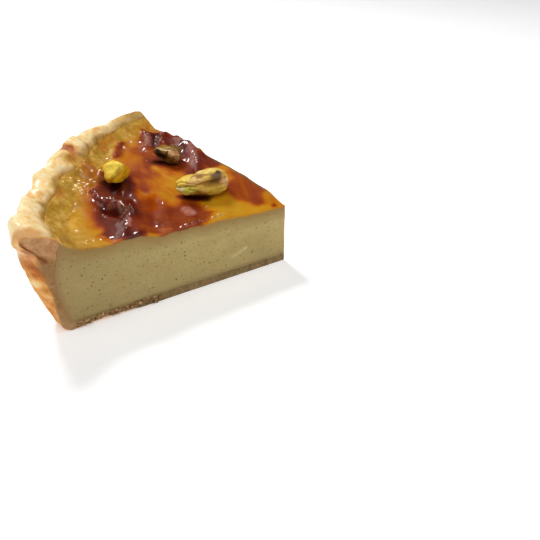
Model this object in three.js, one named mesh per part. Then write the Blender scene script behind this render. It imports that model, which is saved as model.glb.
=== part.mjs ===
// A slice of pistachio flan: a pastry shell with a folded rim, a thick custard filling whose browned
// top is wrinkled, and three pieces of pistachio kernel that lie on it. Millimetres, +Z up.
// The slice points to +X, its crust is at -X, and its flat underside is at z = 0. Places on the round
// are given by r, the distance from the tip, and by an angle, which is 0 along the slice's middle line
// and positive towards the front cut, on the -Y side.
import * as THREE from "three";
import { mergeVertices } from "three/addons/utils/BufferGeometryUtils.js";

// Driving dimensions.
const HALF_ANGLE = 36; // degrees, so that the slice is a fifth of the round
const TIP_X = 55; // from the origin to the tip
const GAP = 0.3; // left between pieces that touch
const WALL_GAP = 1.4 * GAP; // the same where the wall slopes
const EDGE_GAP = 1.2 * GAP; // and at the custard's edge

// Pastry shell.
const BASE_THICK = 3.3;
const FOOT_R = 91.3; // outside of the shell just above the table
const FOOT_ROUND = 3; // rounding of the lower outer edge
const THROAT_R = 89.4; // widest radius of the filling
const WALL_THICK = 2.2; // thinnest wall
const THROAT_Z = 22; // below this height the wall's inside is upright
const RIM_Z = 41.9; // height of an ordinary stretch of rim
const RIM_R = 94.5; // and its outer radius
const COLLAR_Z = 35; // where the wall ends and the folded rim starts
const CUT_SQUEEZE = 4.2; // how far the knife drew the wall in at the front cut
const CUT_SWELL = 1.4; // and how far the wall swells out beside it
const CHIP_DEPTH = 1.3; // crumbs broken from the lower edge of the front cut
const CHIPS_FROM = 62; // radius where those crumbs start
const HOLLOW = 0.12; // how far the underside arches up beyond that radius
const FLOOR_SWELL = 0.3; // how much thicker the base is half way out
const HEEL_Z = 4.2; // where the inside corner between base and wall ends

// Knuckles of the rim that the fingers left: angle, width in degrees, then mm added to the outer
// radius and to the crest.
const KNUCKLES = [
  { at: 33, wide: 6.0, out: 2.4, up: 4.2 },
  { at: 21, wide: 4.0, out: 0.6, up: 0.3 },
  { at: 13.5, wide: 2.5, out: -0.3, up: -1.1 },
  { at: 8.5, wide: 2.6, out: 0.5, up: 0.3 },
  { at: 3.2, wide: 1.8, out: -0.5, up: 0.2 },
  { at: -1.5, wide: 3.2, out: 1.5, up: 0.3 },
  { at: -8, wide: 3.4, out: 0.9, up: 1.8 },
  { at: -15, wide: 2.4, out: 1.2, up: 0.8 },
  { at: -23.5, wide: 2.4, out: -1.2, up: -0.6 },
  { at: -30, wide: 3.6, out: 0.5, up: -0.5 },
  { at: -37, wide: 3.4, out: -0.8, up: -1.6 },
];

// Where the custard's edge lies on the rim: angle and radius. Towards the back it climbs over the rim.
const CUSTARD_EDGE = [
  [36, 83.6],
  [31, 84.7],
  [25, 87],
  [20, 86.7],
  [13, 84.9],
  [5, 86.6],
  [1, 83.9],
  [-7, 84.3],
  [-12, 86.4],
  [-17, 88.6],
  [-23, 89.2],
  [-30, 90.4],
  [-36, 90.6],
];
const EDGE_Z = 37.6; // height of that edge at the front
const TIP_Z = 27; // height of the custard at the tip
const MENISCUS = 7; // width over which the custard curves up to it

// Height of the custard's top along the front cut and along the back cut: radius and height.
const FRONT_TOP = [
  [0, TIP_Z],
  [14, 27.6],
  [28, 28.7],
  [50, 29.9],
  [66, 31.5],
  [80, 32.9],
  [95, 33.4],
];
const BACK_TOP = [
  [0, TIP_Z],
  [11, 30.4],
  [25, 32.1],
  [40, 32.9],
  [60, 34],
  [80, 34.6],
  [95, 36],
];

// Folds of the browned skin: from and to, in mm from the tip, half-width and height.
const FOLDS = [
  { from: [-66, 2], to: [-49, -33], wide: 2.9, high: 1.6 },
  { from: [-58, -6], to: [-46, -31], wide: 2.0, high: 0.8 },
  { from: [-72, -10], to: [-63, -16.5], wide: 2.1, high: 1.4 },
  { from: [-60, -17], to: [-53, -22], wide: 2.0, high: 1.2 },
  { from: [-54, -22], to: [-53, -35], wide: 2.2, high: 1.3 },
  { from: [-67, -19], to: [-60, -22], wide: 2.8, high: -1.4 },
  { from: [-60, -12], to: [-52, -16], wide: 2.4, high: -0.9 },
  { from: [-60, 40], to: [-47, 34], wide: 5.0, high: 1.0 },
  { from: [-46, 33], to: [-38, 12], wide: 2.3, high: 1.6 },
  { from: [-41, 29], to: [-36, 16], wide: 1.7, high: 1.0 },
  { from: [-53, 41], to: [-51, 31], wide: 2.1, high: 1.3 },
  { from: [-61, 41], to: [-59, 33], wide: 1.7, high: 1.3 },
  { from: [-69, 42], to: [-65, 30], wide: 2.2, high: 1.1 },
  { from: [-64, 38], to: [-63, 33], wide: 2.0, high: -0.9 },
  { from: [-79, 30], to: [-75, 18], wide: 2.4, high: 0.8 },
  { from: [-42, -25], to: [-33, -19], wide: 2.0, high: 0.7 },
  { from: [-33, -21], to: [-22, -12], wide: 1.9, high: 0.9 },
  { from: [-50, -6], to: [-40, -22], wide: 3.2, high: 0.6 },
];

// Steps of the mesh.
const SECTIONS = 46;
const TOP_STEPS = 42;
const RIM_STEPS = 14;

const DEGREE = Math.PI / 180;
const gauss = (x, wide) => Math.exp(-((x / wide) ** 2));
const clamp01 = (x) => Math.min(1, Math.max(0, x));
const mix = (a, b, t) => a + (b - a) * t;

// A smooth value at x through a short list of [x, value] pairs.
function along(pairs, x) {
  const sorted = pairs[0][0] < pairs.at(-1)[0] ? pairs : [...pairs].reverse();
  const last = sorted.length - 2;
  let i = 0;
  while (i < last && x > sorted[i + 1][0]) i++;
  const t = clamp01((x - sorted[i][0]) / (sorted[i + 1][0] - sorted[i][0]));
  return mix(sorted[i][1], sorted[i + 1][1], t * t * (3 - 2 * t));
}

// Slow unevenness between about -1 and 1.
function waver(a, b) {
  return (
    0.5 * Math.sin(a * 1.3 + 0.7 * Math.sin(b * 0.9)) +
    0.3 * Math.sin(b * 1.7 + a * 0.6 + 1.9) +
    0.2 * Math.sin(a * 3.1 - b * 2.3 + 4.1)
  );
}

const place = (r, angle, z) =>
  new THREE.Vector3(
    TIP_X - r * Math.cos(angle * DEGREE),
    -r * Math.sin(angle * DEGREE),
    z,
  );

// ---- The shell ----

const knuckles = (angle, key) =>
  KNUCKLES.reduce((sum, k) => sum + k[key] * gauss(angle - k.at, k.wide), 0);

const rimOuter = (angle) =>
  RIM_R + knuckles(angle, "out") + 0.25 * waver(angle * 0.8, 2);

const rimCrest = (angle) =>
  RIM_Z + knuckles(angle, "up") + 0.3 * waver(angle * 0.7, 5);

const custardEdge = (angle) => along(CUSTARD_EDGE, angle);

// The edge is a little higher on the flap at the front and where the custard climbs the rim.
const edgeHeight = (angle) => EDGE_Z + 0.5 * gauss(angle + 34, 10);

// Outer radius of the wall: it spreads towards the rim, and the knife drew it in at the front cut,
// beside which it swells.
function wallOuter(angle, z) {
  const spread = (rimOuter(angle) - 0.6 - FOOT_R) * clamp01(z / COLLAR_Z) ** 0.42;
  const drawn = CUT_SQUEEZE * gauss(HALF_ANGLE - angle, 2.6) * gauss(z - THROAT_Z, 20);
  const swollen = CUT_SWELL * gauss(HALF_ANGLE - 5 - angle, 4) * gauss(z - THROAT_Z, 16);
  return FOOT_R + spread - drawn + swollen + 0.25 * waver(angle * 0.5, z * 0.16);
}

function wallInner(angle, z) {
  const throat = Math.min(THROAT_R, wallOuter(angle, THROAT_Z) - WALL_THICK);
  const rise = clamp01((z - THROAT_Z) / (edgeHeight(angle) - THROAT_Z));
  const edge = custardEdge(angle) - throat;
  const heel = clamp01((THROAT_Z - z) / THROAT_Z);
  return throat - heel ** 3 + (edge < 0 ? edge * rise ** 1.6 : edge * rise ** 4);
}

// Outside and crest of the folded rim, from the collar over the top to the custard's edge.
function rimCurve(angle) {
  const outer = rimOuter(angle);
  const crest = rimCrest(angle);
  const inner = custardEdge(angle);
  const edge = edgeHeight(angle);
  const width = outer - inner;
  const high = crest - edge;
  const points = [
    [wallOuter(angle, COLLAR_Z), COLLAR_Z],
    [outer, mix(COLLAR_Z, crest, 0.42)],
    [outer - 0.05 * width, mix(COLLAR_Z, crest, 0.8)],
    [outer - 0.24 * width, crest],
    [inner + 0.48 * width, edge + 0.9 * high],
    [inner + 0.2 * width, edge + 0.55 * high],
    [inner, edge],
  ];
  return new THREE.SplineCurve(points.map(([r, z]) => new THREE.Vector2(r, z)));
}

// The underside is flat in the middle and a little hollow towards the foot, and crumbs are missing
// there under the front cut.
function underside(r, angle) {
  const outward = clamp01((r - CHIPS_FROM) / (FOOT_R - FOOT_ROUND - CHIPS_FROM));
  const arch = Math.sin(Math.PI * outward);
  const near = gauss(HALF_ANGLE - angle, 1.4);
  return arch * (HOLLOW + CHIP_DEPTH * near * (0.65 + 0.35 * waver(r * 0.9, 1)));
}

const shellFloor = (r) => BASE_THICK + FLOOR_SWELL * Math.sin((Math.PI * r) / FOOT_R);

// Heights of the wall's sampled outline, outside from the foot up and inside from the top down.
const OUTSIDE_Z = [7, 12, 17, 22, 27, 31.5];
const INSIDE_Z = [34, 30, 26, THROAT_Z, 14, 7.5];
const UNDERSIDE_R = [0, CHIPS_FROM, 66, 70, 74, 78, 82];
const FLOOR_R = [86.2, 78, 60, 32, 0];

// Closed outline of the shell at one angle, as [r, z], turning outwards along the underside.
function shellOutline(angle) {
  const outline = UNDERSIDE_R.map((r) => [r, underside(r, angle)]);
  for (let step = 0; step <= 3; step++) {
    const turn = (step / 3) * (Math.PI / 2);
    const r = wallOuter(angle, FOOT_ROUND) - FOOT_ROUND * (1 - Math.sin(turn));
    outline.push([r, FOOT_ROUND * (1 - Math.cos(turn))]);
  }
  for (const z of OUTSIDE_Z) outline.push([wallOuter(angle, z), z]);
  for (const p of rimCurve(angle).getPoints(RIM_STEPS)) outline.push([p.x, p.y]);
  for (const z of INSIDE_Z) outline.push([wallInner(angle, z), z]);
  outline.push([wallInner(angle, HEEL_Z), HEEL_Z]);
  for (const r of FLOOR_R) outline.push([r, shellFloor(r)]);
  return outline;
}

// ---- The filling ----

// Distance from a fold's line, and how far its ends have faded.
function foldHeight(x, y, fold) {
  const [x0, y0] = fold.from;
  const dx = fold.to[0] - x0;
  const dy = fold.to[1] - y0;
  const length2 = dx * dx + dy * dy;
  const t = ((x - x0) * dx + (y - y0) * dy) / length2;
  const beyond = Math.max(0, -t, t - 1) * Math.sqrt(length2);
  const side = ((x - x0) * dy - (y - y0) * dx) / Math.sqrt(length2);
  const curl = side + 0.9 * Math.sin(t * 5 + x0);
  return fold.high * gauss(curl, fold.wide) * gauss(beyond, fold.wide * 1.4);
}

// Height of the custard's top at a place given from the tip.
function topHeight(r, angle) {
  const x = -r * Math.cos(angle * DEGREE);
  const y = -r * Math.sin(angle * DEGREE);
  const back = clamp01((HALF_ANGLE - angle) / (2 * HALF_ANGLE));
  const level = mix(along(FRONT_TOP, r), along(BACK_TOP, r), back ** 1.3);
  const edge = custardEdge(angle);
  const rise = clamp01((r - edge + MENISCUS) / MENISCUS) ** 1.5;
  const folds = FOLDS.reduce((sum, fold) => sum + foldHeight(x, y, fold), 0);
  const slack = (1 - rise) * clamp01(r / 20);
  const top = level + slack * (folds + 0.3 * waver(x * 0.16, y * 0.2));
  return mix(top, edgeHeight(angle) + GAP, rise);
}

// Closed outline of the filling at one angle: over the shell's floor, up its wall, back over the top.
function fillingOutline(angle) {
  const outline = [...FLOOR_R].reverse().map((r) => [r, shellFloor(r) + GAP]);
  for (const z of [HEEL_Z, ...[...INSIDE_Z].reverse()]) {
    outline.push([wallInner(angle, z) - WALL_GAP, z + GAP]);
  }
  const edge = custardEdge(angle) - EDGE_GAP;
  for (let step = TOP_STEPS; step >= 0; step--) {
    const r = (edge * step) / TOP_STEPS;
    outline.push([r, topHeight(r, angle)]);
  }
  return outline;
}

// Sweeps a closed outline round the slice's tip, from the back cut to the front cut.
function sweep(outlineAt) {
  const outlines = [];
  for (let i = 0; i <= SECTIONS; i++) {
    const angle = mix(-HALF_ANGLE, HALF_ANGLE, i / SECTIONS);
    outlines.push({ angle, loop: outlineAt(angle) });
  }
  const corners = [];
  const triangle = (a, b, c) => {
    const flat = new THREE.Vector3()
      .subVectors(b, a)
      .cross(new THREE.Vector3().subVectors(c, a));
    if (flat.length() > 1e-7) corners.push(a, b, c);
  };
  const spot = ({ angle, loop }, j) => place(loop[j][0], angle, loop[j][1]);
  for (let i = 0; i < SECTIONS; i++) {
    const near = outlines[i];
    const far = outlines[i + 1];
    const count = near.loop.length;
    for (let j = 0; j < count; j++) {
      const k = (j + 1) % count;
      triangle(spot(near, j), spot(far, k), spot(near, k));
      triangle(spot(near, j), spot(far, j), spot(far, k));
    }
  }
  for (const [section, facing] of [
    [outlines[0], -1],
    [outlines[SECTIONS], 1],
  ]) {
    const flat = section.loop.map(([r, z]) => new THREE.Vector2(r, z));
    for (const [a, b, c] of THREE.ShapeUtils.triangulateShape(flat, [])) {
      const ends = facing > 0 ? [a, c, b] : [a, b, c];
      triangle(...ends.map((j) => spot(section, j)));
    }
  }
  const geometry = new THREE.BufferGeometry().setFromPoints(corners);
  return mergeVertices(geometry, 1e-4);
}

// ---- The kernels ----

// Flat planes that chopping left round a kernel, spread evenly over all directions.
const SHAVE_TO = 0.8; // share of the kernel's reach that a plane leaves
const SPREAD_TURN = 2.4; // radians from one plane to the next

function shavePlanes({ length, width, height, shave, seed }) {
  const half = new THREE.Vector3(length, width, height).multiplyScalar(0.5);
  return Array.from({ length: shave }, (_, k) => {
    const up = 1 - (2 * (k + 0.5)) / shave;
    const turn = SPREAD_TURN * k + seed;
    const flat = Math.sqrt(1 - up * up);
    const facing = new THREE.Vector3(flat * Math.cos(turn), flat * Math.sin(turn), up);
    return { facing, limit: SHAVE_TO * facing.clone().multiply(half).length() };
  });
}

// One kernel as a closed round form along its own X axis. squareness flattens its ends and sides,
// point narrows one end, split opens a groove between its halves at the turn splitAt, and shave is
// the number of flat planes.
function kernelGeometry(form) {
  const { length, width, height, squareness, point, split, splitAt, seed } = form;
  const planes = shavePlanes(form);
  const rings = 15;
  const sides = 16;
  const bulge = (v) => Math.sign(v) * Math.abs(v) ** squareness;
  const surface = (u, v) => {
    const alongAxis = -bulge(Math.cos(u * Math.PI));
    const girth = Math.sin(u * Math.PI) ** squareness;
    const turn = v * 2 * Math.PI;
    const narrow = 1 - point * 0.5 * (1 - alongAxis);
    const groove = split * gauss(turn - splitAt, 0.32) * clamp01(1.1 - 0.9 * alongAxis);
    const rough = 1 + 0.05 * waver(u * 7 + seed, turn + seed) - groove;
    const spread = 0.5 * girth * narrow * rough;
    const spot = new THREE.Vector3(
      0.5 * length * alongAxis,
      width * spread * bulge(Math.cos(turn)),
      height * spread * bulge(Math.sin(turn)),
    );
    for (const { facing, limit } of planes) {
      spot.addScaledVector(facing, -Math.max(0, spot.dot(facing) - limit));
    }
    return spot;
  };
  const corners = [];
  const wrap = (j) => (j % sides) / sides;
  for (let i = 0; i < rings; i++) {
    for (let j = 0; j < sides; j++) {
      const a = surface(i / rings, wrap(j));
      const b = surface((i + 1) / rings, wrap(j));
      const c = surface((i + 1) / rings, wrap(j + 1));
      const d = surface(i / rings, wrap(j + 1));
      if (i > 0) corners.push(a, d, c);
      else corners.push(a, c, b);
      if (i > 0 && i < rings - 1) corners.push(a, c, b);
    }
  }
  return mergeVertices(new THREE.BufferGeometry().setFromPoints(corners), 1e-4);
}

// Kernels: centre from the tip, heading of the long axis in degrees, and tilt of its high end.
const KERNELS = [
  {
    name: "pistachio_whole",
    at: [-32.7, -1],
    heading: 28,
    tilt: 0,
    form: {
      length: 20.6,
      width: 11.8,
      height: 10.6,
      squareness: 0.74,
      point: 0.38,
      split: 0.26,
      splitAt: 2.8,
      shave: 0,
      seed: 1,
    },
  },
  {
    name: "pistachio_yellow",
    at: [-66.9, -1.8],
    heading: 50,
    tilt: 16,
    form: {
      length: 10.2,
      width: 7.8,
      height: 8.8,
      squareness: 0.66,
      point: 0.12,
      split: 0,
      splitAt: 0,
      shave: 6,
      seed: 4,
    },
  },
  {
    name: "pistachio_dark",
    at: [-52.4, 19.6],
    heading: -6,
    tilt: -5,
    form: {
      length: 13.4,
      width: 9.4,
      height: 8.8,
      squareness: 0.72,
      point: 0.6,
      split: 0.1,
      splitAt: 3.4,
      shave: 9,
      seed: 7,
    },
  },
];

const KERNEL_GAP = 1.5 * GAP;

// Lays a kernel on the custard: turned, tilted, then lowered until it all but touches the top.
function layKernel({ at, heading, tilt, form }) {
  const geometry = kernelGeometry(form);
  geometry.rotateY(-tilt * DEGREE);
  geometry.rotateZ(heading * DEGREE);
  const spots = geometry.getAttribute("position");
  let clearance = Infinity;
  for (let i = 0; i < spots.count; i++) {
    const x = spots.getX(i) + at[0];
    const y = spots.getY(i) + at[1];
    const ground = topHeight(Math.hypot(x, y), Math.atan2(-y, -x) / DEGREE);
    clearance = Math.min(clearance, spots.getZ(i) - ground);
  }
  geometry.translate(TIP_X + at[0], at[1], KERNEL_GAP - clearance);
  return geometry;
}

// ---- The slice ----

const FINISHES = {
  pastry_shell: { color: 0xd9a566, roughness: 0.55, metalness: 0 },
  custard: { color: 0xa89a62, roughness: 0.45, metalness: 0 },
  pistachio_whole: { color: 0xb8a650, roughness: 0.5, metalness: 0 },
  pistachio_yellow: { color: 0xd0b13a, roughness: 0.5, metalness: 0 },
  pistachio_dark: { color: 0x6d6230, roughness: 0.55, metalness: 0 },
};

const slice = new THREE.Group();

function add(name, geometry) {
  const mesh = new THREE.Mesh(geometry, new THREE.MeshStandardMaterial(FINISHES[name]));
  mesh.name = name;
  slice.add(mesh);
}

add("pastry_shell", sweep(shellOutline));
add("custard", sweep(fillingOutline));
for (const kernel of KERNELS) add(kernel.name, layKernel(kernel));

export default slice;
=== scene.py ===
"""A slice of pistachio flan in Blender: custard with a wrinkled, browned skin in a crust of pastry.

Lengths in the shape functions are millimetres; meshes are written in metres. Places on the slice are
polar: r is the distance from the tip, and the angle in degrees is 0 along the middle line and positive
towards the front cut. Places on the skin are (x, y) in mm from the tip, so the crust is at negative x.
"""

import math
from types import SimpleNamespace as Record

import bmesh
import bpy
import numpy as np
from mathutils import Euler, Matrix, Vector


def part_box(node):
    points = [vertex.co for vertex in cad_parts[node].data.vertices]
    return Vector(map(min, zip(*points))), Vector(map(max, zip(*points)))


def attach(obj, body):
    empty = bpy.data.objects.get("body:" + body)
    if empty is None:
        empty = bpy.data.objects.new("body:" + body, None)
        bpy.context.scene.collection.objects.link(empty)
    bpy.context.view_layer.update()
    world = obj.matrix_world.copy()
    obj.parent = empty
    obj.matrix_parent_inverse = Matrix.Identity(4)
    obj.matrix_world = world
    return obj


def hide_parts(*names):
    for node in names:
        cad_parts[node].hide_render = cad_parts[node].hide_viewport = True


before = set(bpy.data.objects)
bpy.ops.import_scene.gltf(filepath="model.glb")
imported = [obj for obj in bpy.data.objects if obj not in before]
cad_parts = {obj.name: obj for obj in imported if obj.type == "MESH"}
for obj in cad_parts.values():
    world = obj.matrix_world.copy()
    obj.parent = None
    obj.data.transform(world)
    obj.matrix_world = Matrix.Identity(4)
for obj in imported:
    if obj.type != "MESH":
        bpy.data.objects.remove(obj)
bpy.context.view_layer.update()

MM = 0.001
SEED = 7
TIP_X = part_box("custard")[1][0] / MM

# ---- The slice's form, as in the solids ----

HALF_ANGLE = 36
GAP = 0.3
BASE_TOP = 3.45
FOOT_R = 91.3
FOOT_ROUND = 3
THROAT_R = 89.4
WALL_THICK = 2.2
THROAT_Z = 22
RIM_Z = 41.9
RIM_R = 94.5
COLLAR_Z = 35
CUT_SQUEEZE = 4.2
CUT_SWELL = 1.4
CHIP_DEPTH = 1.3
CHIPS_FROM = 62
EDGE_Z = 37.6
MENISCUS = 7

# Knuckles of the rim: angle, width in degrees, mm outwards and mm up.
KNUCKLES = [
    (33, 6, 2.4, 4.2), (21, 4, 0.6, 0.3), (13.5, 2.5, -0.3, -1.1), (8.5, 2.6, 0.5, 0.3),
    (3.2, 1.8, -0.5, 0.2), (-1.5, 3.2, 1.5, 0.3), (-8, 3.4, 0.9, 1.8), (-15, 2.4, 1.2, 0.8),
    (-23.5, 2.4, -1.2, -0.6), (-30, 3.6, 0.5, -0.5), (-37, 3.4, -0.8, -1.6),
]
# Where the custard's edge lies on the rim: angle and radius.
CUSTARD_EDGE = [
    (-36, 90.6), (-30, 90.4), (-23, 89.2), (-17, 88.6), (-12, 86.4), (-7, 84.3), (1, 83.9), (5, 86.6),
    (13, 84.9), (20, 86.7), (25, 87), (31, 84.7), (36, 83.6),
]
# Height of the custard's top along the two cuts: radius and height.
FRONT_TOP = [(0, 27), (14, 27.6), (28, 28.7), (50, 29.9), (66, 31.5), (80, 32.9), (95, 33.4)]
BACK_TOP = [(0, 27), (11, 30.4), (25, 32.1), (40, 32.9), (60, 34), (80, 34.6), (95, 36)]

# Folds of the skin: from (x, y), to (x, y), half-width and height.
FOLDS = [
    (-66, 2, -49, -33, 2.9, 1.6), (-58, -6, -46, -31, 2, 0.8), (-72, -10, -63, -16.5, 2.1, 1.4),
    (-60, -17, -53, -22, 2, 1.2), (-54, -22, -53, -35, 2.2, 1.3), (-67, -19, -60, -22, 2.8, -1.4),
    (-60, -12, -52, -16, 2.4, -0.9), (-60, 40, -47, 34, 5, 1), (-46, 33, -38, 12, 2.3, 1.6),
    (-41, 29, -36, 16, 1.7, 1), (-53, 41, -51, 31, 2.1, 1.3), (-61, 41, -59, 33, 1.7, 1.3),
    (-69, 42, -65, 30, 2.2, 1.1), (-64, 38, -63, 33, 2, -0.9), (-79, 30, -75, 18, 2.4, 0.8),
    (-42, -25, -33, -19, 2, 0.7), (-33, -21, -22, -12, 1.9, 0.9), (-50, -6, -40, -22, 3.2, 0.6),
]


def gauss(x, wide):
    return np.exp(-((x / wide) ** 2))


def clamp01(x):
    return np.clip(x, 0, 1)


def mix(a, b, t):
    return a + (b - a) * t


def smooth(x, low, high):
    t = clamp01((x - low) / (high - low))
    return t * t * (3 - 2 * t)


def along(pairs, x):
    """A smooth value at x through (x, value) pairs."""
    table = np.array(pairs, float)
    i = np.clip(np.searchsorted(table[:, 0], x) - 1, 0, len(table) - 2)
    t = smooth(x, table[i, 0], table[i + 1, 0])
    return mix(table[i, 1], table[i + 1, 1], t)


def waver(a, b):
    """Slow unevenness between about -1 and 1."""
    return (
        0.5 * np.sin(a * 1.3 + 0.7 * np.sin(b * 0.9))
        + 0.3 * np.sin(b * 1.7 + a * 0.6 + 1.9)
        + 0.2 * np.sin(a * 3.1 - b * 2.3 + 4.1)
    )


def stacked(*columns):
    return np.stack(np.broadcast_arrays(*columns), -1)


def place(r, angle, z):
    """Points in mm from polar places."""
    turn = np.radians(angle)
    return stacked(TIP_X - r * np.cos(turn), -r * np.sin(turn), z)


def noise(points, size, seed=0):
    """Smooth random values between -1 and 1 whose features are size mm across."""
    p = points / size + 100 + 17.3 * seed
    cell = np.floor(p).astype(np.int64)
    t = p - cell
    t = t * t * t * (t * (6 * t - 15) + 10)
    total = 0
    for corner in range(8):
        step = np.array([corner & 1, corner >> 1 & 1, corner >> 2 & 1])
        h = (cell + step) @ (374761393, 668265263, 974711) & 0xFFFFFFFF
        h = ((h ^ (h >> 13)) * 1274126177 + (SEED + seed) * 7919) & 0xFFFFFFFF
        value = ((h ^ (h >> 16)) & 0xFFFF) / 32767.5 - 1
        total = total + np.prod(np.where(step, t, 1 - t), -1) * value
    return total


def fractal(points, size, octaves=4, seed=0):
    """Noise at several sizes, each half the one before."""
    return sum(noise(points, size / 2**k, seed + k) * 0.5**k for k in range(octaves)) / 1.6


def flat_points(x, y):
    """Points of a plane for the noise functions."""
    return stacked(x, y, 0)


# ---- Shape of the crust ----


def knuckles(angle, key):
    return sum(k[key] * gauss(angle - k[0], k[1]) for k in KNUCKLES)


def rim_outer(angle):
    return RIM_R + knuckles(angle, 2) + 0.25 * waver(angle * 0.8, 2)


def rim_crest(angle):
    return RIM_Z + knuckles(angle, 3) + 0.3 * waver(angle * 0.7, 5)


def custard_edge(angle):
    return along(CUSTARD_EDGE, angle)


def edge_height(angle):
    return EDGE_Z + 0.5 * gauss(angle + 34, 10)


def wall_outer(angle, z):
    spread = (rim_outer(angle) - 0.6 - FOOT_R) * clamp01(z / COLLAR_Z) ** 0.42
    drawn = CUT_SQUEEZE * gauss(HALF_ANGLE - angle, 2.6) * gauss(z - THROAT_Z, 20)
    swollen = CUT_SWELL * gauss(HALF_ANGLE - 5 - angle, 4) * gauss(z - THROAT_Z, 16)
    return FOOT_R + spread - drawn + swollen + 0.25 * waver(angle * 0.5, z * 0.16)


def wall_inner(angle, z):
    throat = np.minimum(THROAT_R, wall_outer(angle, THROAT_Z) - WALL_THICK)
    rise = clamp01((z - THROAT_Z) / (edge_height(angle) - THROAT_Z))
    edge = custard_edge(angle) - throat
    heel = clamp01((THROAT_Z - z) / THROAT_Z)
    return throat - heel**3 + np.where(edge < 0, edge * rise**1.6, edge * rise**4)


def underside(r, angle):
    arch = np.sin(np.pi * clamp01((r - CHIPS_FROM) / (FOOT_R - FOOT_ROUND - CHIPS_FROM)))
    near = gauss(HALF_ANGLE - angle, 1.4)
    return arch * (0.12 + CHIP_DEPTH * near * (0.65 + 0.35 * waver(r * 0.9, 1)))


def spline(points, t):
    """Catmull-Rom curve through (r, z) pairs of arrays, at t between 0 and 1."""
    last = len(points) - 1
    place_at = min(t * last, last - 1e-9)
    i = int(place_at)
    w = place_at - i
    p0, p1, p2, p3 = (points[k] for k in (max(i - 1, 0), i, i + 1, min(i + 2, last)))
    v0 = (p2 - p0) * 0.5
    v1 = (p3 - p1) * 0.5
    return (2 * p1 - 2 * p2 + v0 + v1) * w**3 + (-3 * p1 + 3 * p2 - 2 * v0 - v1) * w**2 + v0 * w + p1


def rim_points(angle):
    """Control points of the rim's outline, from the collar over the crest to the custard's edge."""
    outer, crest = rim_outer(angle), rim_crest(angle)
    inner, edge = custard_edge(angle), edge_height(angle)
    width, high = outer - inner, crest - edge
    return [
        stacked(wall_outer(angle, COLLAR_Z), COLLAR_Z),
        stacked(outer, mix(COLLAR_Z, crest, 0.42)),
        stacked(outer - 0.05 * width, mix(COLLAR_Z, crest, 0.8)),
        stacked(outer - 0.24 * width, crest),
        stacked(inner + 0.48 * width, edge + 0.9 * high),
        stacked(inner + 0.2 * width, edge + 0.55 * high),
        stacked(inner, edge),
    ]


# ---- Shape of the custard's top ----


def flat_place(r, angle):
    """The place (x, y) on the skin of a polar place."""
    turn = np.radians(angle)
    return -r * np.cos(turn), -r * np.sin(turn)


def fold_height(x, y, x0, y0, x1, y1, wide, high):
    dx, dy = x1 - x0, y1 - y0
    length = math.hypot(dx, dy)
    t = ((x - x0) * dx + (y - y0) * dy) / length**2
    beyond = np.maximum(0, np.maximum(-t, t - 1)) * length
    side = ((x - x0) * dy - (y - y0) * dx) / length
    curl = side + 0.9 * np.sin(t * 5 + x0)
    return high * gauss(curl, wide) * gauss(beyond, wide * 1.4)


def top_height(r, angle):
    """Height of the custard's top, as in the solid."""
    x, y = flat_place(r, angle)
    back = clamp01((HALF_ANGLE - angle) / (2 * HALF_ANGLE))
    level = mix(along(FRONT_TOP, r), along(BACK_TOP, r), back**1.3)
    rise = clamp01((r - custard_edge(angle) + MENISCUS) / MENISCUS) ** 1.5
    humps = sum(fold_height(x, y, *fold) for fold in FOLDS)
    top = level + (1 - rise) * clamp01(r / 20) * (humps + 0.3 * waver(x * 0.16, y * 0.2))
    return mix(top, edge_height(angle) + GAP, rise)


# Which way most wrinkles run, and how long they are against their width.
WRINKLE_HEADING = math.radians(-67)
WRINKLE_STRETCH = 5
STREAK_HEADING = math.radians(-34)

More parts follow.
